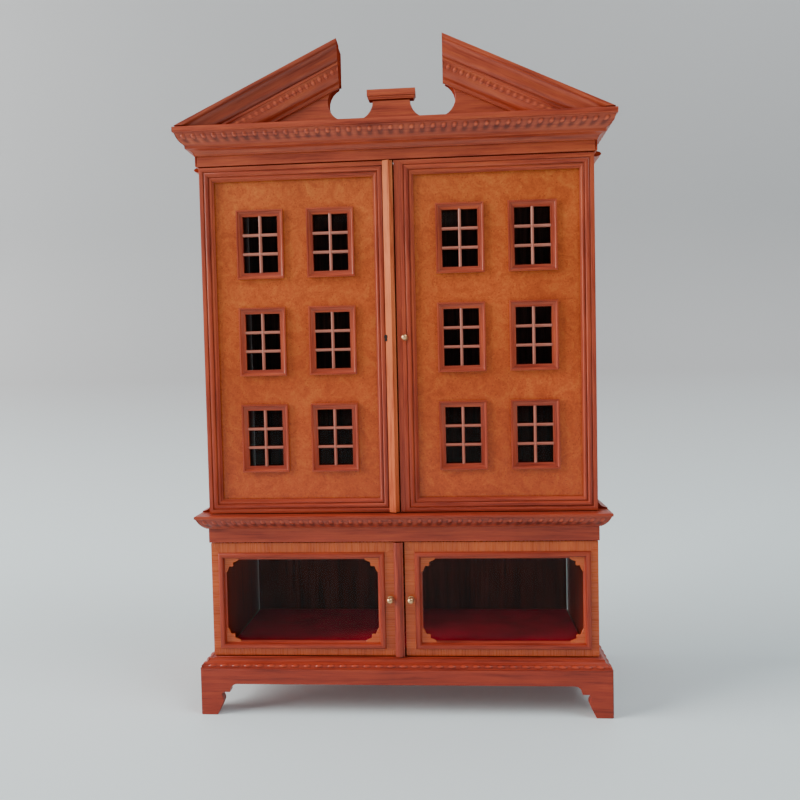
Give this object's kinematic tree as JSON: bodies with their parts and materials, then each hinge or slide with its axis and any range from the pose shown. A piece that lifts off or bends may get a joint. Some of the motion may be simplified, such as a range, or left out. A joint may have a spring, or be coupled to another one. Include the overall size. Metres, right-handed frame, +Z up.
{
  "type": "miniature bookcase",
  "caption": "Miniature bookcase with a broken pediment, a doll's house behind two windowed doors and a glazed cupboard on bracket feet.",
  "frame": {"origin": "middle of the width and depth, on the floor", "axes": "+Z up, the front faces -Y, +X to the right as seen from the front"},
  "size_m": [0.129, 0.0516, 0.1998],
  "materials": {
    "mahogany": "polished red mahogany",
    "burr_veneer": "polished burr veneer",
    "carcase_wood": "plain stained wood",
    "brass": "polished brass",
    "glass": "clear glass",
    "baize": "crimson baize"
  },
  "bodies": {
    "case": {"side_left": "mahogany", "side_right": "mahogany", "top_board": "carcase_wood", "waist_board": "carcase_wood", "bottom_board": "carcase_wood", "back_panel": "carcase_wood", "storey_floor_lower": "carcase_wood", "storey_floor_upper": "carcase_wood", "room_partition_bottom": "carcase_wood", "room_partition_middle": "carcase_wood", "room_partition_top": "carcase_wood", "baize_lining": "baize", "waist_rail": "mahogany", "cornice_front": "mahogany", "cornice_left": "mahogany", "cornice_right": "mahogany", "pediment_board": "mahogany", "rake_moulding_left": "mahogany", "rake_moulding_right": "mahogany", "pedestal_cap": "mahogany", "waist_moulding_front": "mahogany", "waist_moulding_left": "mahogany", "waist_moulding_right": "mahogany", "plinth_front": "mahogany", "plinth_left": "mahogany", "plinth_right": "mahogany", "pivot_pin_base_left": "brass", "pivot_pin_base_right": "brass", "pivot_pin_waist_left": "brass", "pivot_pin_waist_right": "brass", "pivot_pin_head_left": "brass", "pivot_pin_head_right": "brass"},
    "upper_door_left": {"door_frame_upper_left": "mahogany", "door_panel_upper_left": "burr_veneer", "window_glazing_left": "glass", "window_left_1": "mahogany", "window_left_2": "mahogany", "window_left_3": "mahogany", "window_left_4": "mahogany", "window_left_5": "mahogany", "window_left_6": "mahogany"},
    "upper_door_right": {"door_frame_upper_right": "mahogany", "door_panel_upper_right": "burr_veneer", "window_glazing_right": "glass", "knob_upper_right": "brass", "window_right_1": "mahogany", "window_right_2": "mahogany", "window_right_3": "mahogany", "window_right_4": "mahogany", "window_right_5": "mahogany", "window_right_6": "mahogany"},
    "lower_door_left": {"door_frame_lower_left": "burr_veneer", "glazing_bead_left": "mahogany", "glass_pane_left": "glass", "knob_lower_left": "brass", "meeting_astragal": "mahogany"},
    "lower_door_right": {"door_frame_lower_right": "burr_veneer", "glazing_bead_right": "mahogany", "glass_pane_right": "glass", "knob_lower_right": "brass"}
  },
  "joints": [
    {"name": "upper_door_left_hinge", "type": "hinge", "parent": "case", "child": "upper_door_left", "pos_m": [-0.0575, -0.01805, 0.0612], "axis": [0, 0, -1], "range_deg": [0, 170]},
    {"name": "upper_door_right_hinge", "type": "hinge", "parent": "case", "child": "upper_door_right", "pos_m": [0.0575, -0.01805, 0.0612], "axis": [0, 0, 1], "range_deg": [0, 170]},
    {"name": "lower_door_left_hinge", "type": "hinge", "parent": "case", "child": "lower_door_left", "pos_m": [-0.0575, -0.01805, 0.0171], "axis": [0, 0, -1], "range_deg": [0, 170]},
    {"name": "lower_door_right_hinge", "type": "hinge", "parent": "case", "child": "lower_door_right", "pos_m": [0.0575, -0.01805, 0.0171], "axis": [0, 0, 1], "range_deg": [0, 170]}
  ]
}
